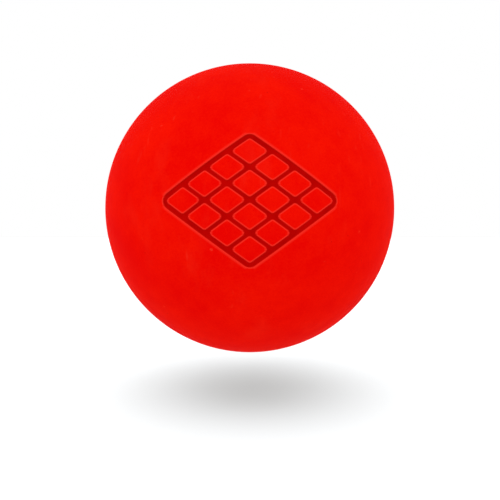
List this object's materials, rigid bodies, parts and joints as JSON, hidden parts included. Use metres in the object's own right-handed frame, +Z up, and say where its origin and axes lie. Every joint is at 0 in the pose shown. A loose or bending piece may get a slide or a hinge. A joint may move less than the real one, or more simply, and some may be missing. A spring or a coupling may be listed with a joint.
{
  "type": "lacrosse ball",
  "caption": "Solid rubber lacrosse ball with a moulded core, coloured half covers that meet on a low parting ridge, and a sunk lattice mark on the front.",
  "frame": {"origin": "centre of the ball", "axes": "+Z up, -Y out through the middle of the sunk mark, the parting ridge on the plane Y = 0, +X to the right of the mark"},
  "size_m": [0.0638, 0.0636, 0.0638],
  "materials": {
    "cover_rubber": "matte, pigmented right through",
    "core_rubber": "matte, undyed"
  },
  "bodies": {
    "root": {"core": "core_rubber", "front_cover": "cover_rubber", "rear_cover": "cover_rubber"}
  },
  "joints": []
}
